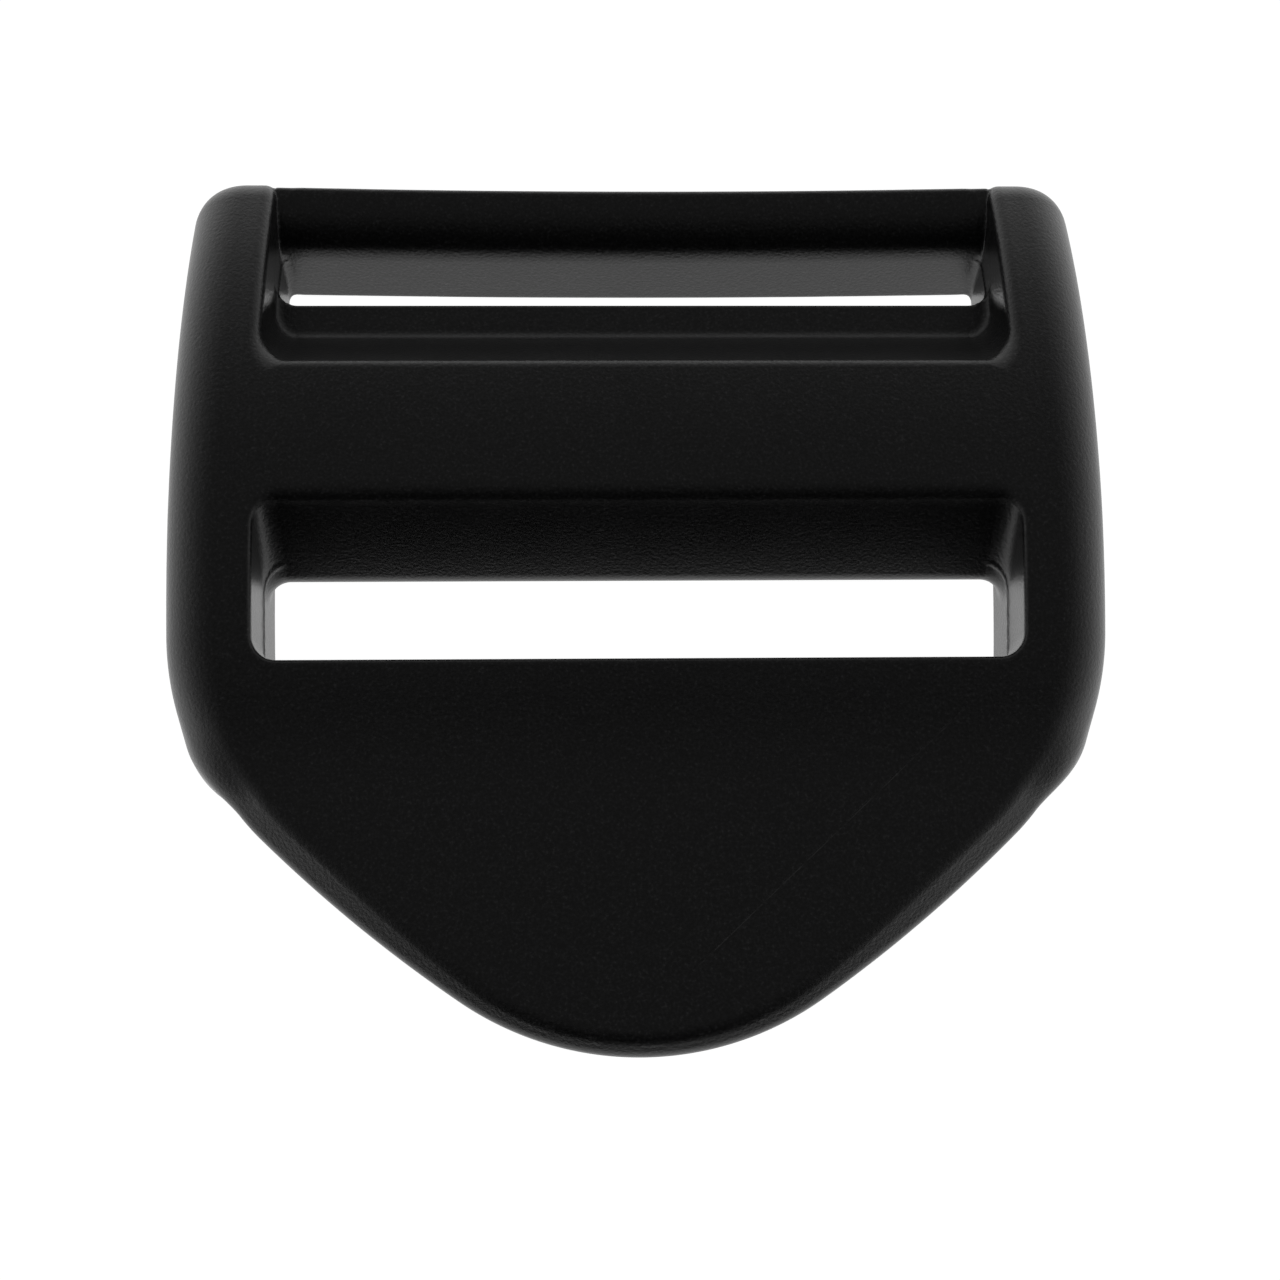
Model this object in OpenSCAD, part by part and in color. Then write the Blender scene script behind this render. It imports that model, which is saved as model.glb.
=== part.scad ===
// Ladder-lock strap adjuster with a V-shaped thumb tab, moulded in one.
// Five members meet face to face on the planes of the slot ends.
// X runs across the webbing, Y along it towards the anchor bar, Z up from the feet.

/* [Overall] */
// Length, tab tip to the far ends of the rails
length = 47.1; // [46.5:0.1:47.6]
// Height of the crown of the arch above the feet
height = 11.75; // [11.5:0.05:12]

/* [Webbing slots] */
// Clear width of both webbing slots
slot_w = 39; // [38:0.5:41]
// Gap between the thumb tab and the centre bar
tab_gap = 4.9; // [4.6:0.1:5.2]

/* [Side rails] */
// Width of one side rail, slot end to parting line
rail_w = 4.95; // [4.4:0.05:6]
// Depth of a rail, front surface to back surface
rail_depth = 8.2; // [7.8:0.1:8.4]
// Radius of the rail's mid-line arch
arch_r = 34; // [33:0.5:36]
// Rounding of the long outer edges
outer_edge_r = 3.1; // [1.5:0.1:3.2]
// Rounding of the long inner edges
inner_edge_r = 0.3; // [0.2:0.1:0.8]
// Draft of the outer side, both ways from the parting line
side_draft = 8; // [4:1:10]
// Inward lean of the outer side towards the thumb tab
taper_angle = 14.5; // [8:0.5:16]

/* [Anchor bar] */
// Width of the anchor bar along the webbing, at its base
anchor_w = 4.25; // [4.1:0.05:4.35]
// Height of the anchor bar's top corner next to the slot
anchor_h = 4.6; // [4.2:0.1:5]
// Radius of its convex top
anchor_top_r = 3.4; // [3.3:0.05:3.6]
// How far the middle of the bar bows towards the slot
anchor_bow = 0.25; // [0.1:0.05:0.5]

/* [Centre bar] */
// Thickness of the arched bar
plate_t = 6.3; // [6.1:0.1:6.3]
// Slope of the face that leads into the wide slot
nose_slope = 56; // [50:1:60]
// Radius of the nose that the webbing turns round
nose_r = 1.1; // [0.9:0.05:1.2]
// Depth of the pocket behind the arched face, down to its ledge
ledge_drop = 4.95; // [4.6:0.05:5.1]

/* [Thumb tab] */
// Height of the tab's flat face
tab_z = 9.8; // [9.5:0.1:10]
// Thickness of the tab
tab_t = 2.2; // [2:0.1:2.6]
// Radius of the tip in plan
tip_r = 16.3; // [15:0.1:17]
// Half angle of the tip's arc
tip_angle = 34; // [33:0.5:35]
// Radius of the long, nearly straight flanks
flank_r = 75; // [70:1:80]
// Width of the bevel round the rim
rim_bevel = 1.3; // [1:0.1:1.5]

/* [Hidden] */
$fn = 96;
arch_fn = 240;
black = "#1c1c1f";
eps = 0.01;
half_slot = slot_w / 2;
outer_x = half_slot + rail_w;
far_y = length / 2;
tip_y = -length / 2;

// The arch: a ring round an axis parallel to X, with its crown at crown_y
crown_y = tip_y + 27.55;
arch_top_r = arch_r + rail_depth / 2;
arch_low_r = arch_r - rail_depth / 2;
arch_z = height - arch_top_r;

// Plan of a rail
far_corner_r = 3.2;
far_round_r = 3;
far_side_lean = 0.1;
near_y = crown_y - 15;
near_corner_r = 4.8;
taper_y = crown_y - 8.2;
near_side_x = outer_x - tan(taper_angle) * (taper_y - near_y);

// Thumb tab
tab_edge_y = crown_y - 7.7;
tip_centre_y = tip_y + tip_r;
flank_offset = flank_r - tip_r;
flank_x = flank_offset * sin(tip_angle);
flank_y = tip_centre_y + flank_offset * cos(tip_angle);
shoulder_y = near_y + 5;
ridge_w = 2.4;
ridge_h = 2.6;
tab_corner = 0.3;

// Centre bar, in its Y-Z section
nose_y = tab_edge_y + tab_gap + nose_r;
nose_z = 6.35;
bar_back_y = crown_y + 12.97;
bar_back_draft = 4;
pocket_y = crown_y + 7.75;
pocket_slope = 60;
ledge_fall = 5;
pocket_corner_r = 1.3;

// Anchor bar, in its Y-Z section
anchor_far_y = far_y - 0.3;
anchor_low_z = 0.3;
anchor_wall_lean = 14.5;
anchor_corner_normal = 55.7;
anchor_bow_r = half_slot * half_slot / (2 * anchor_bow);
anchor_near_y = anchor_far_y - anchor_w;
anchor_corner_y = anchor_near_y + (anchor_h - anchor_low_z) * tan(anchor_wall_lean);

function unit(v) = v / norm(v);

// What a rounded corner takes away: the corner's kite less a circle, reaching just past the outline
module corner_waste(before, at, after, r) {
  a = unit(before - at);
  b = unit(after - at);
  half = acos(a * b) / 2;
  centre = at + unit(a + b) * r / sin(half);
  reach = r / tan(half);
  out_a = unit(a * (a * b) - b) * eps;
  out_b = unit(b * (a * b) - a) * eps;
  difference() {
    polygon([at - unit(a + b) * 2 * eps / sin(half), at + reach * a + out_a, centre, at + reach * b + out_b]);
    translate(centre) circle(r = r);
  }
}

// Polygon with rounded convex corners; a radius of 0 leaves a corner sharp
module soft_polygon(points, radii) {
  n = len(points);
  difference() {
    polygon(points);
    for (i = [0:n - 1])
      if (radii[i] > 0)
        corner_waste(points[(i + n - 1) % n], points[i], points[(i + 1) % n], radii[i]);
  }
}

// Turns a Y-Z section into a bar along X
module along_x(x0, x1) {
  translate([x0, 0, 0]) rotate([90, 0, 90]) linear_extrude(x1 - x0) children();
}

// Plan of the right-hand rail
module rail_plan() {
  soft_polygon(
    [
      [half_slot, near_y],
      [near_side_x, near_y],
      [outer_x, taper_y],
      [outer_x, crown_y],
      [outer_x - far_side_lean, far_y],
      [half_slot, far_y]
    ],
    [0, near_corner_r, 12, 0, far_corner_r, 0]
  );
}

// Side view that rounds the far end of a rail into its front surface
module rail_side() {
  far_slope = asin((far_y - crown_y) / arch_top_r);
  far_top_z = arch_z + arch_top_r * cos(far_slope);
  soft_polygon(
    [
      [tip_y, 0],
      [far_y, 0],
      [far_y, far_top_z],
      [tip_y, far_top_z + length * tan(far_slope)]
    ],
    [0, 0, far_round_r, 0]
  );
}

// The arch, with the rail's rounded section
module arch() {
  draft_x = rail_depth / 2 * tan(side_draft);
  translate([0, crown_y, arch_z]) rotate([90, 0, 90])
    rotate_extrude($fn = arch_fn)
      soft_polygon(
        [
          [arch_low_r, half_slot],
          [arch_top_r, half_slot],
          [arch_top_r, outer_x - draft_x],
          [arch_r, outer_x],
          [arch_low_r, outer_x - draft_x]
        ],
        [inner_edge_r, inner_edge_r, outer_edge_r, 0, outer_edge_r]
      );
}

// One outline disc of the tab: bevelled above, with a small chamfer below
module tab_disc(r) {
  low_z = tab_z - tab_t;
  rotate_extrude($fn = arch_fn)
    polygon([
      [0, low_z],
      [r - tab_corner, low_z],
      [r, low_z + tab_corner],
      [r, tab_z - rim_bevel],
      [r - rim_bevel, tab_z],
      [0, tab_z]
    ]);
}

// Wedge round the tip in which the tip's arc is the outline
module tip_sector() {
  reach = 2 * tip_r;
  translate([0, tip_centre_y, 0]) linear_extrude(height)
    polygon([
      [0, 0],
      [-reach * sin(tip_angle), -reach * cos(tip_angle)],
      [reach * sin(tip_angle), -reach * cos(tip_angle)]
    ]);
}

// The whole V-shaped plate, up to the edge of the wide slot
module tab_plate() {
  intersection() {
    translate([-outer_x, tip_y, 0]) cube([2 * outer_x, tab_edge_y - tip_y, height]);
    union() {
      difference() {
        intersection() {
          translate([-flank_x, flank_y, 0]) tab_disc(flank_r);
          translate([flank_x, flank_y, 0]) tab_disc(flank_r);
        }
        tip_sector();
      }
      intersection() {
        translate([0, tip_centre_y, 0]) tab_disc(tip_r);
        tip_sector();
      }
    }
  }
}

// Right-hand rail: the arch inside its plan, and the shoulder of the tab on top of its near end
module rail() {
  intersection() {
    arch();
    linear_extrude(height) rail_plan();
    along_x(0, outer_x) rail_side();
  }
  intersection() {
    tab_plate();
    linear_extrude(height)
      polygon([
        [half_slot, tip_y],
        [outer_x, tip_y],
        [outer_x - 0.6, near_y + 1.6],
        [outer_x - 3, shoulder_y],
        [half_slot, shoulder_y]
      ]);
  }
}

module right_rail() {
  color(black) rail();
}

module left_rail() {
  color(black) mirror([1, 0, 0]) rail();
}

// Section of the anchor bar, leaning wall towards the slot and convex top
module anchor_section() {
  top_centre = [
    anchor_corner_y + anchor_top_r * sin(anchor_corner_normal),
    anchor_h - anchor_top_r * cos(anchor_corner_normal)
  ];
  lean = tan(anchor_wall_lean);
  intersection() {
    polygon([
      [anchor_near_y, anchor_low_z],
      [anchor_far_y, anchor_low_z],
      [anchor_far_y, height],
      [anchor_near_y + (height - anchor_low_z) * lean, height]
    ]);
    union() {
      translate(top_centre) circle(r = anchor_top_r);
      translate([anchor_near_y, 0]) square([anchor_w, anchor_h * 0.75]);
    }
  }
}

module anchor_bar() {
  bow_y = anchor_far_y + anchor_bow_r;
  sweep = 2 * asin(half_slot / anchor_bow_r) + 0.5;
  color(black)
    intersection() {
      translate([0, bow_y, 0]) rotate([0, 0, -90 - sweep / 2])
        rotate_extrude(angle = sweep, $fn = 1440)
          translate([bow_y + anchor_bow, 0]) mirror([1, 0]) anchor_section();
      translate([-half_slot, 0, 0]) cube([slot_w, length, height]);
    }
}

// Section of the centre bar before the pocket is cut
module centre_section() {
  normal = [-sin(nose_slope), cos(nose_slope)];
  nose_top = [nose_y, nose_z] + nose_r * normal;
  slope_run = (height - nose_top[1]) / tan(nose_slope);
  back_low_y = bar_back_y - height * tan(bar_back_draft);
  difference() {
    intersection() {
      translate([crown_y, arch_z]) circle(r = arch_top_r, $fn = arch_fn);
      union() {
        translate([nose_y, nose_z]) circle(r = nose_r);
        polygon([
          nose_top,
          [nose_y, nose_z - nose_r],
          [back_low_y, 0],
          [bar_back_y, height],
          [nose_top[0] + slope_run, height]
        ]);
      }
    }
    translate([crown_y, arch_z]) circle(r = arch_top_r - plate_t, $fn = arch_fn);
  }
}

// Pocket: a steep wall, then a ledge falling slightly towards the anchor bar
module pocket() {
  pocket_top_z = arch_z + sqrt(pow(arch_top_r, 2) - pow(pocket_y - crown_y, 2));
  floor_y = pocket_y + ledge_drop / tan(pocket_slope);
  floor_z = pocket_top_z - ledge_drop;
  plan_r = pocket_corner_r;
  intersection() {
    along_x(-half_slot, half_slot)
      polygon([
        [pocket_y - 1 / tan(pocket_slope), pocket_top_z + 1],
        [floor_y, floor_z],
        [far_y, floor_z - (far_y - floor_y) * tan(ledge_fall)],
        [far_y, pocket_top_z + 1]
      ]);
    linear_extrude(2 * height)
      soft_polygon(
        [
          [-half_slot, pocket_y],
          [half_slot, pocket_y],
          [half_slot, far_y],
          [-half_slot, far_y]
        ],
        [plan_r, plan_r, 0, 0]
      );
  }
}

module centre_bar() {
  color(black)
    difference() {
      along_x(-half_slot, half_slot) centre_section();
      pocket();
    }
}

// Ridge under the edge of the tab that pinches the webbing
module lock_ridge() {
  low_r = ridge_w / 2;
  along_x(-half_slot, half_slot)
    translate([tab_edge_y - low_r, tab_z - tab_t - ridge_h + low_r]) {
      circle(r = low_r);
      translate([-low_r, 0]) square([ridge_w, ridge_h - low_r + eps]);
    }
}

module thumb_tab() {
  color(black) {
    intersection() {
      tab_plate();
      translate([-half_slot, tip_y, 0]) cube([slot_w, length, height]);
    }
    lock_ridge();
  }
}

left_rail();
right_rail();
anchor_bar();
centre_bar();
thumb_tab();
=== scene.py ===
import math

import bmesh
import bpy
import numpy as np
from mathutils import Matrix, Vector


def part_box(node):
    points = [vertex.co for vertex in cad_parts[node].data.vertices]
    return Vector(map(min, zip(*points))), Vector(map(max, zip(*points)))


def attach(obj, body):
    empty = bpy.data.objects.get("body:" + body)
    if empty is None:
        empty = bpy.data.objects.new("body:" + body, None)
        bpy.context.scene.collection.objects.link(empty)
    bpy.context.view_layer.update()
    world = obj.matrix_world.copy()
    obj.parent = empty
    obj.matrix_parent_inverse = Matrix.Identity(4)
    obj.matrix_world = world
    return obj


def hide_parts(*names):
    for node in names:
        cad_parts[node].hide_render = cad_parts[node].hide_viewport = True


# The looks of a one-piece moulded ladder-lock buckle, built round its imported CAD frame.
# Shapes are worked out in millimetres in the frame's own axes, and meshes are in metres.

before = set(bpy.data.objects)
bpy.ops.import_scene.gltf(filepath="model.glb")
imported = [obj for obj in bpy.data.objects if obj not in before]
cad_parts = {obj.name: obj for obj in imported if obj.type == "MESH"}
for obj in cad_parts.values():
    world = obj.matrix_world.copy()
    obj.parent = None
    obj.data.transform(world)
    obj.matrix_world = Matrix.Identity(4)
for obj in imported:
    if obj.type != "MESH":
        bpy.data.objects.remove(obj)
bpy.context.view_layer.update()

MM = 0.001
BODY = "root"


def node_box(name):
    """Lowest and highest corner of a CAD node, in millimetres."""
    low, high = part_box(name)
    return [v / MM for v in low], [v / MM for v in high]


RAIL_HIGH = node_box("right_rail")[1]
ANCHOR_LOW, ANCHOR_HIGH = node_box("anchor_bar")
BAR_LOW, BAR_HIGH = node_box("centre_bar")
TAB_LOW, TAB_HIGH = node_box("thumb_tab")

# Driving places, from the frame
HALF_SLOT = BAR_HIGH[0]
OUTER_X = RAIL_HIGH[0]
FAR_Y = RAIL_HIGH[1]
TIP_Y = TAB_LOW[1]
HEIGHT = RAIL_HIGH[2]
TAB_EDGE_Y = TAB_HIGH[1]
TAB_Z = TAB_HIGH[2]

# The arch that both rails and the centre bar share: a ring round an axis parallel to X
RAIL_DEPTH = 8.2
ARCH_R = 34.0
CROWN_Y = TIP_Y + 27.55
ARCH_TOP_R = ARCH_R + RAIL_DEPTH / 2
ARCH_Z = HEIGHT - ARCH_TOP_R

# Rails
OUTER_EDGE_R = 3.1
SIDE_DRAFT = math.radians(8)
FAR_LEAN = 0.1
FAR_CORNER_R = 2.6
NEAR_Y = CROWN_Y - 15
NEAR_CORNER_R = 4.5
NEAR_EDGE_R = 1.2
TAPER_Y = CROWN_Y - 8.2
TAPER = math.radians(14.5)
TAPER_BLEND = 0.5
FOOT_EDGE_R = 0.3

# Thumb tab
TAB_THICKNESS = 2.2
TIP_R = 16.3
TIP_ANGLE = math.radians(34)
FLANK_R = 75.0
TIP_BEVEL = 0.95
FLANK_BEVEL = 1.55
BEVEL_TILT = math.radians(43)
RIM_SOFT = 0.35
SHOULDER_INSET = 0.9
SHOULDER_BLEND = 2.0
TAB_UNDER_R = 0.3
RIDGE_W = 2.4
RIDGE_FILLET = 0.4
TAB_SLOT_EDGE_R = 0.25

# Centre bar
NOSE_R = 1.1
NOSE_Z = 6.35
LEDGE_Z = 5.85
NOSE_SLOPE = math.radians(56)
PLATE_T = 6.45
BACK_DRAFT = math.radians(4)
BACK_EDGE_R = 0.2
POCKET_Y = CROWN_Y + 7.75
POCKET_DROP = 4.95
POCKET_SLOPE = math.radians(60)
POCKET_CORNER_R = 1.35
LEDGE_FALL = math.radians(5)

# Anchor bar
ANCHOR_TOP_R = 3.4
ANCHOR_CORNER_H = 4.6
ANCHOR_WALL_LEAN = math.radians(14.5)
ANCHOR_CORNER_NORMAL = math.radians(55.7)
ANCHOR_FAR_BOW = 0.24
ANCHOR_NEAR_BOW = 0.19
ANCHOR_EDGE_R = 0.3

# Fillets and soft edges
SLOT_CORNER_R = 1.2
ANCHOR_FILLET = 0.5
ANCHOR_TOP_FILLET = 0.15
LEDGE_FILLET = 0.85
POCKET_SIDE_FILLET = 0.5
FLASH = 0.08
MOUTH_SOFTER = 0.22
INNER_EDGE_R = 0.32
POCKET_EDGE_R = 0.2
POCKET_BACK_R = 0.18
RAIL_EDGE_R = 0.7
SHARP = 0.02
TAB_BLEND = 0.7

GRID_STEP = 0.16

# Finish
GRAIN_DEPTH = 0.023
SCRATCH_DEPTH = 0.03
SCRATCH_ROUGHER = 0.3


# ---- Signed distances: negative inside, and rounded where faces meet ----

def soft_max(a, b, width):
    """The larger of two fields, blended where they are nearly equal."""
    gap = np.maximum(width - np.abs(a - b), 0)
    return np.maximum(a, b) + gap * gap / (4 * width)


def soft_min(a, b, width):
    """The smaller of two fields, blended in the same way."""
    return -soft_max(-a, -b, width)


def round_max(a, b, radius, lean=0.0):
    """Two faces bounding a solid, their edge rounded; lean is the cosine between their normals."""
    p, q = a + radius, b + radius
    at_edge = (p > lean * q) & (q > lean * p)
    from_edge = np.sqrt(np.maximum(p * p + q * q - 2 * lean * p * q, 0) / (1 - lean * lean))
    return np.where(at_edge, from_edge, np.maximum(p, q)) - radius


def round_min(a, b, radius, lean=0.0):
    """Two solids joined with a fillet."""
    return -round_max(-a, -b, radius, lean)


def ease(value, start, end):
    """0 before start, 1 after end, and smooth between them."""
    t = np.clip((value - start) / (end - start), 0, 1)
    return t * t * (3 - 2 * t)


def mix(start, end, share):
    return start + (end - start) * share


def arch_radius(y, z):
    """Distance from the arch's axis."""
    return np.hypot(y - CROWN_Y, z - ARCH_Z)


def rail_side(x, y):
    """Outer side of a rail in plan, tapering in towards the thumb tab."""
    lean = FAR_LEAN * np.clip((y - CROWN_Y) / (FAR_Y - CROWN_Y), 0, 1)
    straight = x - OUTER_X + lean
    tapered = (x - OUTER_X) * math.cos(TAPER) - (y - TAPER_Y) * math.sin(TAPER)
    return soft_max(straight, tapered, TAPER_BLEND)


def rail_ring(x, y, z):
    """The arched slab inside the rail's side and near end, before its far end is cut."""
    offset = np.abs(arch_radius(y, z) - ARCH_R)
    side = rail_side(x, y) + offset * math.tan(SIDE_DRAFT)
    outline = round_max(side, NEAR_Y - y, NEAR_CORNER_R, math.sin(TAPER))
    edge_r = mix(NEAR_EDGE_R, OUTER_EDGE_R, ease(y, NEAR_Y, NEAR_Y + 4))
    return round_max(offset - RAIL_DEPTH / 2, outline, edge_r, math.sin(SIDE_DRAFT))


def rail(x, y, z):
    """Arched rail with a rounded far end and a flat foot."""
    step = 0.5
    ring = rail_ring(x, y, z)
    slope = (rail_ring(x, y + step, z) - rail_ring(x, y - step, z)) / (2 * step)
    capped = round_max(ring, y - FAR_Y, FAR_CORNER_R, np.clip(slope, -0.1, 0.9))
    return round_max(capped, -z, FOOT_EDGE_R)


def tab_rim(x, y):
    """Outline of the V-shaped tab: long flanks and a round tip, running into the rails' sides."""
    tip_y = TIP_Y + TIP_R
    reach = FLANK_R - TIP_R
    flank = np.hypot(x + reach * math.sin(TIP_ANGLE), y - tip_y - reach * math.cos(TIP_ANGLE)) - FLANK_R
    tip = np.hypot(x, y - tip_y) - TIP_R
    at_tip = x * math.cos(TIP_ANGLE) < (tip_y - y) * math.sin(TIP_ANGLE)
    shoulder = rail_side(x, y) + SHOULDER_INSET
    return soft_max(np.where(at_tip, tip, flank), shoulder, SHOULDER_BLEND)


def tab_plate(x, y, z):
    """The tab's plate, bevelled round its upper rim."""
    rim = tab_rim(x, y)
    top = z - TAB_Z
    width = mix(TIP_BEVEL, FLANK_BEVEL, ease(y, TIP_Y, TIP_Y + 10))
    bevel = (rim + width) * math.sin(BEVEL_TILT) + top * math.cos(BEVEL_TILT)
    upper = soft_max(np.maximum(rim, top), bevel, RIM_SOFT)
    plate = round_max(upper, TAB_Z - TAB_THICKNESS - z, TAB_UNDER_R)
    return np.maximum(plate, y - TAB_EDGE_Y)


def centre_profile(y, z):
    """Y-Z section of the centre bar below the arch: nose, sloped face, underside and back."""
    nose_y = BAR_LOW[1] + NOSE_R
    slope = (nose_y - y) * math.sin(NOSE_SLOPE) + (z - NOSE_Z) * math.cos(NOSE_SLOPE) - NOSE_R
    under = ARCH_TOP_R - PLATE_T - arch_radius(y, z)
    front = round_max(slope, under, NOSE_R, -math.cos(NOSE_SLOPE))
    back = (y - BAR_HIGH[1]) * math.cos(BACK_DRAFT) - (z - LEDGE_Z) * math.sin(BACK_DRAFT)
    return round_max(front, back, BACK_EDGE_R)


def tab_profile(y, z):
    """Y-Z section of the tab below its top: underside, lock ridge and the edge of the wide slot."""
    under = TAB_Z - TAB_THICKNESS - z
    ridge_y = TAB_EDGE_Y - RIDGE_W / 2
    across = np.abs(y - ridge_y) - RIDGE_W / 2
    ridge = round_max(across, TAB_LOW[2] - z, RIDGE_W / 2 - 0.05)
    joined = round_min(under, ridge, RIDGE_FILLET)
    return round_max(joined, y - TAB_EDGE_Y, TAB_SLOT_EDGE_R)


def anchor_profile(x, y, z):
    """Y-Z section of the anchor bar, bowed towards the slot in its middle."""
    bow = 1 - np.clip(x / HALF_SLOT, 0, 1) ** 2
    far = y - ANCHOR_HIGH[1] + ANCHOR_FAR_BOW * bow
    y = y + ANCHOR_NEAR_BOW * bow
    rise = ANCHOR_CORNER_H - ANCHOR_LOW[2]
    near_y = ANCHOR_LOW[1] + ANCHOR_NEAR_BOW
    corner_y = near_y + rise * math.tan(ANCHOR_WALL_LEAN)
    wall = (near_y - y) * math.cos(ANCHOR_WALL_LEAN) + (z - ANCHOR_LOW[2]) * math.sin(ANCHOR_WALL_LEAN)
    centre_y = corner_y + ANCHOR_TOP_R * math.sin(ANCHOR_CORNER_NORMAL)
    centre_z = ANCHOR_CORNER_H - ANCHOR_TOP_R * math.cos(ANCHOR_CORNER_NORMAL)
    across, above = y - centre_y, z - centre_z
    past_corner = across * math.cos(ANCHOR_CORNER_NORMAL) + above * math.sin(ANCHOR_CORNER_NORMAL) < 0
    tangent = above * math.cos(ANCHOR_CORNER_NORMAL) - across * math.sin(ANCHOR_CORNER_NORMAL)
    top = np.where(past_corner, tangent, np.hypot(across, above)) - ANCHOR_TOP_R
    section = soft_max(top, wall, ANCHOR_EDGE_R)
    section = round_max(section, far, ANCHOR_EDGE_R)
    return round_max(section, ANCHOR_LOW[2] - z, ANCHOR_EDGE_R)


def pocket(x, y, z):
    """Space of the pocket behind the centre bar, down to its ledge."""
    top_z = ARCH_Z + math.sqrt(ARCH_TOP_R ** 2 - (POCKET_Y - CROWN_Y) ** 2)
    wall = (POCKET_Y - y) * math.sin(POCKET_SLOPE) + (top_z - z) * math.cos(POCKET_SLOPE)
    floor_y = POCKET_Y + POCKET_DROP / math.tan(POCKET_SLOPE)
    floor_z = top_z - POCKET_DROP
    floor = (floor_z - z) * math.cos(LEDGE_FALL) - (y - floor_y) * math.sin(LEDGE_FALL)
    side = x - HALF_SLOT
    plan = round_max(side, wall, POCKET_CORNER_R)
    past_side = np.maximum(side + POCKET_CORNER_R, 0)
    past_wall = np.maximum(wall + POCKET_CORNER_R, 0)
    share = past_wall / np.maximum(np.hypot(past_side, past_wall), 1e-6)
    fillet_r = mix(POCKET_SIDE_FILLET, LEDGE_FILLET, share)
    return round_max(plan, floor, fillet_r, share * math.cos(POCKET_SLOPE - LEDGE_FALL))


def slot_end(x, y, z):
    """Upright end wall of the slots, with a thin flash along the parting line."""
    flash = 1 - ease(np.abs(ARCH_R - arch_radius(y, z)), 0.04, 0.2)
    return HALF_SLOT - x - flash * ease(y, TAB_EDGE_Y, TAB_EDGE_Y + 0.8) * FLASH


def moulding(x, y, z):
    """The whole buckle, which is alike on both sides of X = 0."""
    x = np.abs(x)
    envelope = soft_min(rail(x, y, z), tab_plate(x, y, z), TAB_BLEND)
    wall = slot_end(x, y, z)
    middle = round_min(wall, centre_profile(y, z), SLOT_CORNER_R)
    middle = round_min(middle, tab_profile(y, z), SLOT_CORNER_R)
    beside = ease(x, HALF_SLOT - POCKET_CORNER_R, HALF_SLOT - 0.2)
    middle = round_max(middle, -pocket(x, y, z), mix(POCKET_BACK_R, SHARP, beside))
    anchor = anchor_profile(x, y, z)
    near_top = ease(z, ANCHOR_CORNER_H - 0.4, ANCHOR_CORNER_H + 0.4)
    middle = round_min(middle, anchor, mix(ANCHOR_FILLET, ANCHOR_TOP_FILLET, near_top))
    edge_r = mix(SHARP, INNER_EDGE_R, ease(y, TAB_EDGE_Y - 3.5, TAB_EDGE_Y - 0.5))
    pocket_edge_r = mix(POCKET_EDGE_R, RAIL_EDGE_R, beside)
    edge_r = mix(edge_r, pocket_edge_r, ease(y, POCKET_Y - 1.5, POCKET_Y - 0.5))
    at_mouth = ease(y, TAB_EDGE_Y + 4, TAB_EDGE_Y + 6) * ease(-y, -TAB_EDGE_Y - 12, -TAB_EDGE_Y - 10)
    edge_r = edge_r + MOUTH_SOFTER * at_mouth * ease(wall, 0.3, 1.5)
    solid = round_max(envelope, middle, edge_r)
    return round_min(solid, round_max(anchor, -wall - 0.1, 0.1), 0.1)


# ---- Mesh of a field ----

def slope_of(field, points, step=0.02):
    """Gradient of a field at each point."""
    slopes = []
    for axis in range(3):
        ahead, behind = points.copy(), points.copy()
        ahead[:, axis] += step
        behind[:, axis] -= step
        slopes.append((field(*ahead.T) - field(*behind.T)) / (2 * step))
    return np.stack(slopes, 1)


def sample(field, low, step, counts):
    """Field values on a grid, worked out in slices along X."""
    xs, ys, zs = (low[i] + step * np.arange(counts[i]) for i in range(3))
    y, z = np.meshgrid(ys, zs, indexing="ij")
    return np.stack([field(np.full_like(y, x), y, z) for x in xs])


def surface_net(field, low, high, step):
    """Vertices and quads of the surface where the field is zero."""
    counts = [int(math.ceil((high[i] - low[i]) / step)) + 1 for i in range(3)]
    values = sample(field, low, step, counts)
    inside = values < 0
    cells = [n - 1 for n in counts]
    total = np.zeros((cells[0] * cells[1] * cells[2], 3))
    hits = np.zeros(len(total))
    quads = []
    for axis in range(3):
        others = [(axis + 1) % 3, (axis + 2) % 3]
        near = [slice(None)] * 3
        far = [slice(None)] * 3
        near[axis], far[axis] = slice(None, -1), slice(1, None)
        near, far = tuple(near), tuple(far)
        edges = np.argwhere(inside[near] != inside[far])
        keep = np.all([(edges[:, o] > 0) & (edges[:, o] < counts[o] - 1) for o in others], axis=0)
        edges = edges[keep]
        ends = edges.copy()
        ends[:, axis] += 1
        a, b = values[tuple(edges.T)], values[tuple(ends.T)]
        points = edges.astype(float)
        points[:, axis] += a / (a - b)
        around = []
        for shift_a, shift_b in ((0, 0), (1, 0), (1, 1), (0, 1)):
            cell = edges.copy()
            cell[:, others[0]] -= shift_a
            cell[:, others[1]] -= shift_b
            around.append((cell[:, 0] * cells[1] + cell[:, 1]) * cells[2] + cell[:, 2])
        for cell in around:
            np.add.at(total, cell, points)
            np.add.at(hits, cell, 1)
        ring = np.stack(around, 1)
        flip = a > 0
        ring[flip] = ring[flip][:, ::-1]
        quads.append(ring)
    used = np.flatnonzero(hits)
    index = np.full(len(total), -1)
    index[used] = np.arange(len(used))
    points = total[used] / hits[used][:, None] * step + np.array(low)
    return points, index[np.concatenate(quads)]


def settle(field, points, step, rounds=4):
    """Moves points onto the field's zero surface."""
    for _ in range(rounds):
        slope = slope_of(field, points)
        value = field(*points.T)
        length = np.maximum((slope * slope).sum(1), 0.05)
        move = -(value / length)[:, None] * slope
        points = points + np.clip(move, -step / 2, step / 2)
    return points


# ---- Pieces ----

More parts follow.
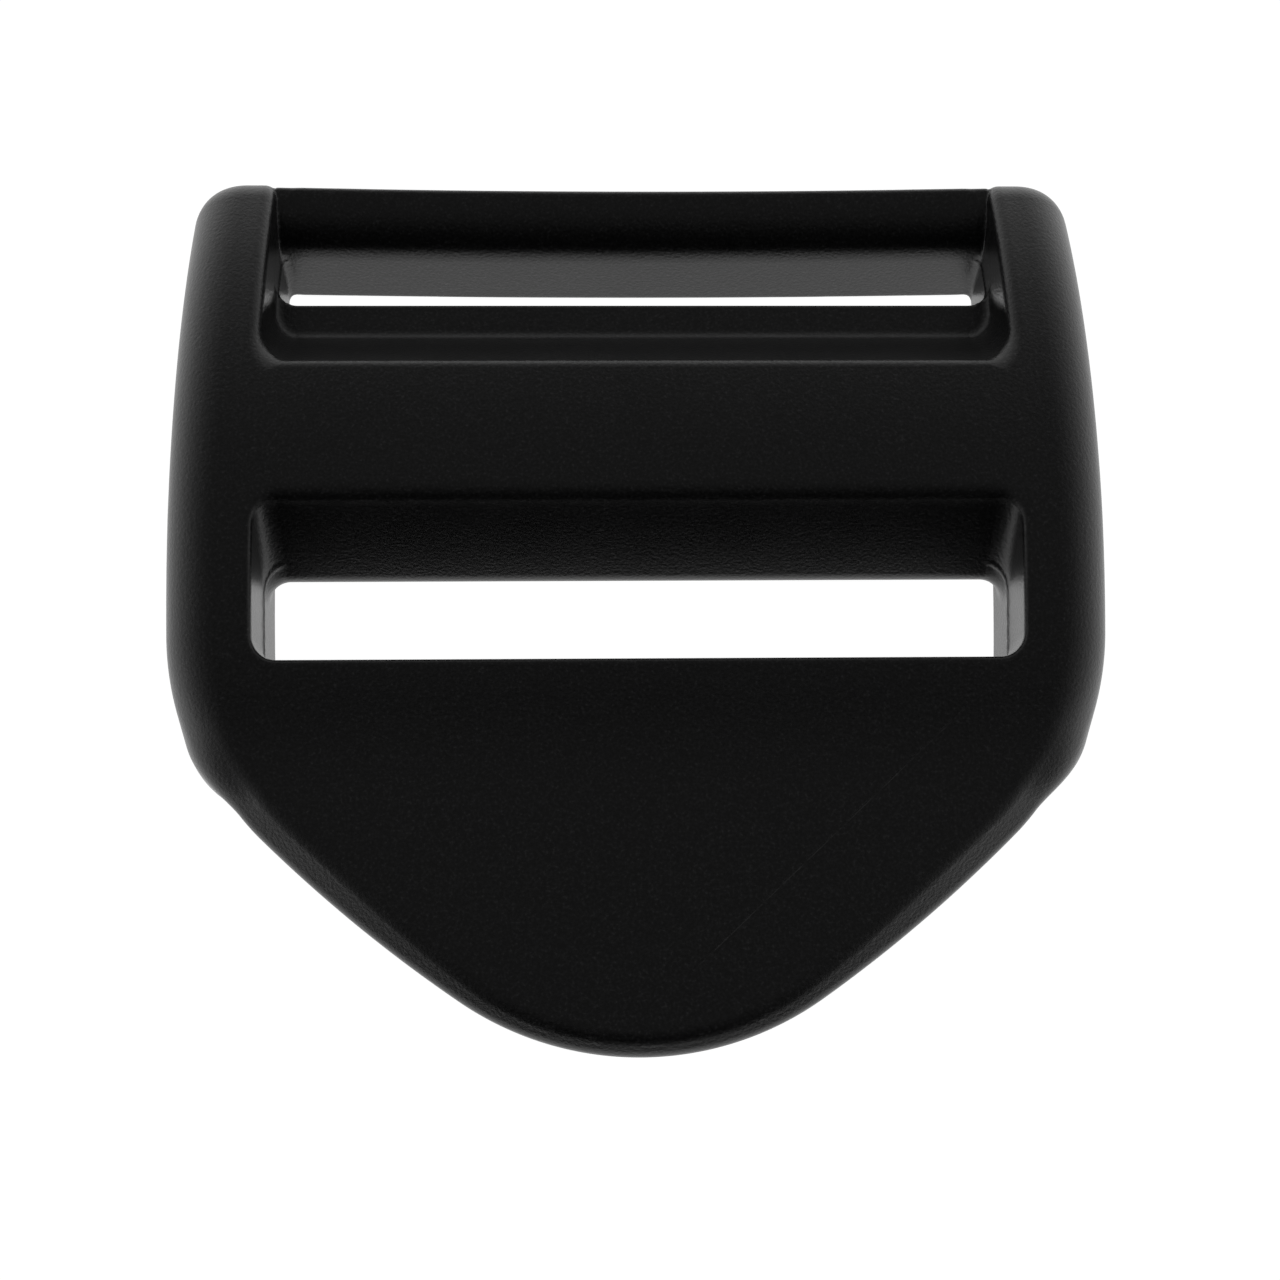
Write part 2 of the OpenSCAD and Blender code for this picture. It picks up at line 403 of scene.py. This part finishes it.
# Where each bar is parted from the rails, just inside the slot ends
PART_X = HALF_SLOT - 0.25
WIDE_SLOT_Y = (TAB_EDGE_Y + BAR_LOW[1]) / 2
NARROW_SLOT_Y = (BAR_HIGH[1] + ANCHOR_LOW[1]) / 2


def is_left(at):
    return at.x < -PART_X


def is_right(at):
    return at.x > PART_X


def is_anchor(at):
    return abs(at.x) < PART_X and at.y > NARROW_SLOT_Y


def is_centre(at):
    return abs(at.x) < PART_X and WIDE_SLOT_Y < at.y < NARROW_SLOT_Y


def is_tab(at):
    return abs(at.x) < PART_X and at.y < WIDE_SLOT_Y


MEMBERS = {
    "left_rail": is_left,
    "right_rail": is_right,
    "anchor_bar": is_anchor,
    "centre_bar": is_centre,
    "thumb_tab": is_tab,
}


def close_cuts(part):
    """Caps the open loops that the parting planes leave, facing outwards."""
    open_edges = [e for e in part.edges if e.is_boundary]
    caps = bmesh.ops.holes_fill(part, edges=open_edges, sides=0)["faces"]
    middle = sum(v.co.x for v in part.verts) / len(part.verts)
    for cap in caps:
        cap.normal_update()
        outward = cap.calc_center_median().x - middle
        if cap.normal.x * outward < 0:
            cap.normal_flip()
    bmesh.ops.triangulate(part, faces=caps)


def shade(mesh):
    """Smooth normals from the field itself, and flat ones on the caps."""
    count = len(mesh.vertices)
    points = np.empty(count * 3)
    mesh.vertices.foreach_get("co", points)
    points = points.reshape(count, 3) / MM
    slope = slope_of(moulding, points)
    normals = slope / np.maximum(np.linalg.norm(slope, axis=1, keepdims=True), 1e-9)
    corners = np.empty(len(mesh.loops), int)
    mesh.loops.foreach_get("vertex_index", corners)
    shown = normals[corners]
    for face in mesh.polygons:
        if abs(face.normal.x) > 0.9999 and abs(abs(face.center.x) / MM - PART_X) < 0.001:
            shown[face.loop_indices] = face.normal
    mesh.shade_smooth()
    mesh.normals_split_custom_set(shown)


def build_members(material):
    """One closed piece for each member of the moulding."""
    margin = 3 * GRID_STEP
    low = [-GRID_STEP * math.ceil((OUTER_X + margin) / GRID_STEP), TIP_Y - margin, -margin]
    high = [-low[0], FAR_Y + margin, HEIGHT + margin]
    points, quads = surface_net(moulding, low, high, GRID_STEP)
    points = settle(moulding, points, GRID_STEP)
    whole_mesh = bpy.data.meshes.new("whole")
    whole_mesh.from_pydata((points * MM).tolist(), [], quads.tolist())
    whole = bmesh.new()
    whole.from_mesh(whole_mesh)
    bpy.data.meshes.remove(whole_mesh)
    for x in (-PART_X, PART_X):
        geometry = whole.verts[:] + whole.edges[:] + whole.faces[:]
        plane = (x * MM, 0, 0)
        bmesh.ops.bisect_plane(whole, geom=geometry, dist=1e-8, plane_co=plane, plane_no=(1, 0, 0))
    for name, belongs in MEMBERS.items():
        part = whole.copy()
        others = [f for f in part.faces if not belongs(f.calc_center_median() / MM)]
        bmesh.ops.delete(part, geom=others, context="FACES")
        close_cuts(part)
        mesh = bpy.data.meshes.new(name + "_shell")
        part.to_mesh(mesh)
        part.free()
        mesh.materials.append(material)
        shade(mesh)
        piece = bpy.data.objects.new(name + "_shell", mesh)
        bpy.context.scene.collection.objects.link(piece)
        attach(piece, BODY)
        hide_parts(name)
    whole.free()


# ---- Material ----

def scratch_mask(nodes, links, place):
    """1 along one fine, broken scratch that crosses the tab, and 0 elsewhere."""
    turned = nodes.new("ShaderNodeMapping")
    turned.inputs["Location"].default_value = (0, 15.8, 0)
    turned.inputs["Rotation"].default_value = (0, 0, math.radians(-43))
    turned.inputs["Scale"].default_value = (1 / MM, 1 / MM, 1 / MM)
    links.new(place.outputs["Object"], turned.inputs["Vector"])
    axes = nodes.new("ShaderNodeSeparateXYZ")
    links.new(turned.outputs["Vector"], axes.inputs["Vector"])
    across = nodes.new("ShaderNodeMapRange")
    across.inputs["From Min"].default_value = 0.02
    across.inputs["From Max"].default_value = 0.07
    across.inputs["To Min"].default_value = 1
    across.inputs["To Max"].default_value = 0
    size = nodes.new("ShaderNodeMath")
    size.operation = "ABSOLUTE"
    links.new(axes.outputs["Y"], size.inputs[0])
    links.new(size.outputs["Value"], across.inputs["Value"])
    broken = nodes.new("ShaderNodeTexNoise")
    broken.inputs["Scale"].default_value = 0.9
    broken.inputs["Detail"].default_value = 3
    links.new(turned.outputs["Vector"], broken.inputs["Vector"])
    shown = nodes.new("ShaderNodeMapRange")
    shown.inputs["From Min"].default_value = 0.32
    shown.inputs["From Max"].default_value = 0.55
    links.new(broken.outputs["Fac"], shown.inputs["Value"])
    along = nodes.new("ShaderNodeMath")
    along.operation = "COMPARE"
    along.inputs[1].default_value = -1.7
    along.inputs[2].default_value = 9.6
    links.new(axes.outputs["X"], along.inputs[0])
    line = nodes.new("ShaderNodeMath")
    line.operation = "MULTIPLY"
    links.new(across.outputs["Result"], line.inputs[0])
    links.new(shown.outputs["Result"], line.inputs[1])
    mask = nodes.new("ShaderNodeMath")
    mask.operation = "MULTIPLY"
    links.new(line.outputs["Value"], mask.inputs[0])
    links.new(along.outputs["Value"], mask.inputs[1])
    return mask.outputs["Value"]


def grain_tint(nodes, links, place):
    """Black with a fine mottle and a few pale specks."""
    mottle = nodes.new("ShaderNodeTexNoise")
    mottle.inputs["Scale"].default_value = 6.5 / MM
    mottle.inputs["Detail"].default_value = 2
    links.new(place.outputs["Object"], mottle.inputs["Vector"])
    shades = nodes.new("ShaderNodeValToRGB")
    shades.color_ramp.elements[0].position = 0.4
    shades.color_ramp.elements[0].color = (0.0006, 0.0006, 0.0007, 1)
    shades.color_ramp.elements[1].position = 0.61
    shades.color_ramp.elements[1].color = (0.0078, 0.0078, 0.0083, 1)
    speck = shades.color_ramp.elements.new(0.78)
    speck.color = (0.03, 0.03, 0.031, 1)
    links.new(mottle.outputs["Fac"], shades.inputs["Fac"])
    return shades.outputs["Color"]


def black_plastic():
    """Black acetal, satin from a finely blasted mould, with a little wear."""
    material = bpy.data.materials.new("black_acetal")
    material.use_nodes = True
    nodes, links = material.node_tree.nodes, material.node_tree.links
    shader = nodes["Principled BSDF"]
    shader.inputs["IOR"].default_value = 1.46
    place = nodes.new("ShaderNodeTexCoord")
    grain = nodes.new("ShaderNodeTexNoise")
    grain.inputs["Scale"].default_value = 5.5 / MM
    grain.inputs["Detail"].default_value = 3
    links.new(place.outputs["Object"], grain.inputs["Vector"])
    texture = nodes.new("ShaderNodeBump")
    texture.inputs["Distance"].default_value = GRAIN_DEPTH * MM
    links.new(grain.outputs["Fac"], texture.inputs["Height"])
    links.new(grain_tint(nodes, links, place), shader.inputs["Base Color"])
    scratch = scratch_mask(nodes, links, place)
    groove = nodes.new("ShaderNodeBump")
    groove.inputs["Distance"].default_value = SCRATCH_DEPTH * MM
    groove.invert = True
    links.new(scratch, groove.inputs["Height"])
    links.new(texture.outputs["Normal"], groove.inputs["Normal"])
    links.new(groove.outputs["Normal"], shader.inputs["Normal"])
    patches = nodes.new("ShaderNodeTexNoise")
    patches.inputs["Scale"].default_value = 0.25 / MM
    links.new(place.outputs["Object"], patches.inputs["Vector"])
    spread = nodes.new("ShaderNodeMapRange")
    spread.inputs["To Min"].default_value = 0.29
    spread.inputs["To Max"].default_value = 0.35
    links.new(patches.outputs["Fac"], spread.inputs["Value"])
    worn = nodes.new("ShaderNodeMath")
    worn.operation = "MULTIPLY_ADD"
    worn.inputs[1].default_value = SCRATCH_ROUGHER
    links.new(scratch, worn.inputs[0])
    links.new(spread.outputs["Result"], worn.inputs[2])
    links.new(worn.outputs["Value"], shader.inputs["Roughness"])
    return material


# ---- Studio ----

def lit_floor():
    """A plain white light table under the buckle."""
    half = 1.5
    mesh = bpy.data.meshes.new("floor")
    corners = [(-half, -half, 0), (half, -half, 0), (half, half, 0), (-half, half, 0)]
    mesh.from_pydata(corners, [], [(0, 1, 2, 3)])
    material = bpy.data.materials.new("white_table")
    material.use_nodes = True
    shader = material.node_tree.nodes["Principled BSDF"]
    shader.inputs["Base Color"].default_value = (0.15, 0.15, 0.15, 1)
    shader.inputs["Roughness"].default_value = 0.9
    shader.inputs["Emission Color"].default_value = (1, 1, 1, 1)
    shader.inputs["Emission Strength"].default_value = 1.0
    mesh.materials.append(material)
    floor = bpy.data.objects.new("floor", mesh)
    bpy.context.scene.collection.objects.link(floor)


def light_tent():
    """Soft surround: bright low down at the sides and back, dark overhead and in front."""
    world = bpy.data.worlds.new("tent")
    world.use_nodes = True
    nodes, links = world.node_tree.nodes, world.node_tree.links
    background = nodes["Background"]
    background.inputs["Color"].default_value = (1, 1, 1, 1)
    place = nodes.new("ShaderNodeTexCoord")
    split = nodes.new("ShaderNodeSeparateXYZ")
    links.new(place.outputs["Generated"], split.inputs["Vector"])
    height = nodes.new("ShaderNodeMapRange")
    height.interpolation_type = "SMOOTHSTEP"
    height.inputs["From Min"].default_value = 0.0
    height.inputs["From Max"].default_value = 0.9
    height.inputs["To Min"].default_value = 0.78
    height.inputs["To Max"].default_value = 0.17
    links.new(split.outputs["Z"], height.inputs["Value"])
    front = nodes.new("ShaderNodeMapRange")
    front.interpolation_type = "SMOOTHSTEP"
    front.inputs["From Min"].default_value = -0.85
    front.inputs["From Max"].default_value = -0.2
    front.inputs["To Min"].default_value = 0.02
    front.inputs["To Max"].default_value = 1.0
    links.new(split.outputs["Y"], front.inputs["Value"])
    skirt = nodes.new("ShaderNodeMapRange")
    skirt.interpolation_type = "SMOOTHSTEP"
    skirt.inputs["From Min"].default_value = 0.0
    skirt.inputs["From Max"].default_value = 0.3
    skirt.inputs["To Min"].default_value = 0.15
    skirt.inputs["To Max"].default_value = 0.0
    links.new(split.outputs["Z"], skirt.inputs["Value"])
    share = nodes.new("ShaderNodeMath")
    share.operation = "MAXIMUM"
    links.new(front.outputs["Result"], share.inputs[0])
    links.new(skirt.outputs["Result"], share.inputs[1])
    level = nodes.new("ShaderNodeMath")
    level.operation = "MULTIPLY"
    links.new(height.outputs["Result"], level.inputs[0])
    links.new(share.outputs["Value"], level.inputs[1])
    links.new(level.outputs["Value"], background.inputs["Strength"])
    bpy.context.scene.world = world


def camera():
    """Looks down from just in front of straight above, with the tab nearest."""
    pitch = Matrix.Rotation(math.radians(9.35), 3, "X")
    yaw = Matrix.Rotation(math.radians(-1.54), 3, "Y")
    roll = Matrix.Rotation(math.radians(-0.27), 3, "Z")
    turn = pitch @ yaw @ roll
    aim = Vector((0.11, -2.18, 7.1)) * MM
    distance = 105 * MM
    data = bpy.data.cameras.new("camera")
    data.sensor_width = 36
    data.lens = 56.4
    data.clip_start, data.clip_end = 0.01, 10
    eye = bpy.data.objects.new("camera", data)
    eye.location = aim + turn.col[2] * distance
    eye.rotation_euler = turn.to_euler()
    bpy.context.scene.collection.objects.link(eye)
    bpy.context.scene.camera = eye


camera()
lit_floor()
light_tent()
build_members(black_plastic())
bpy.context.scene.view_settings.view_transform = "Standard"
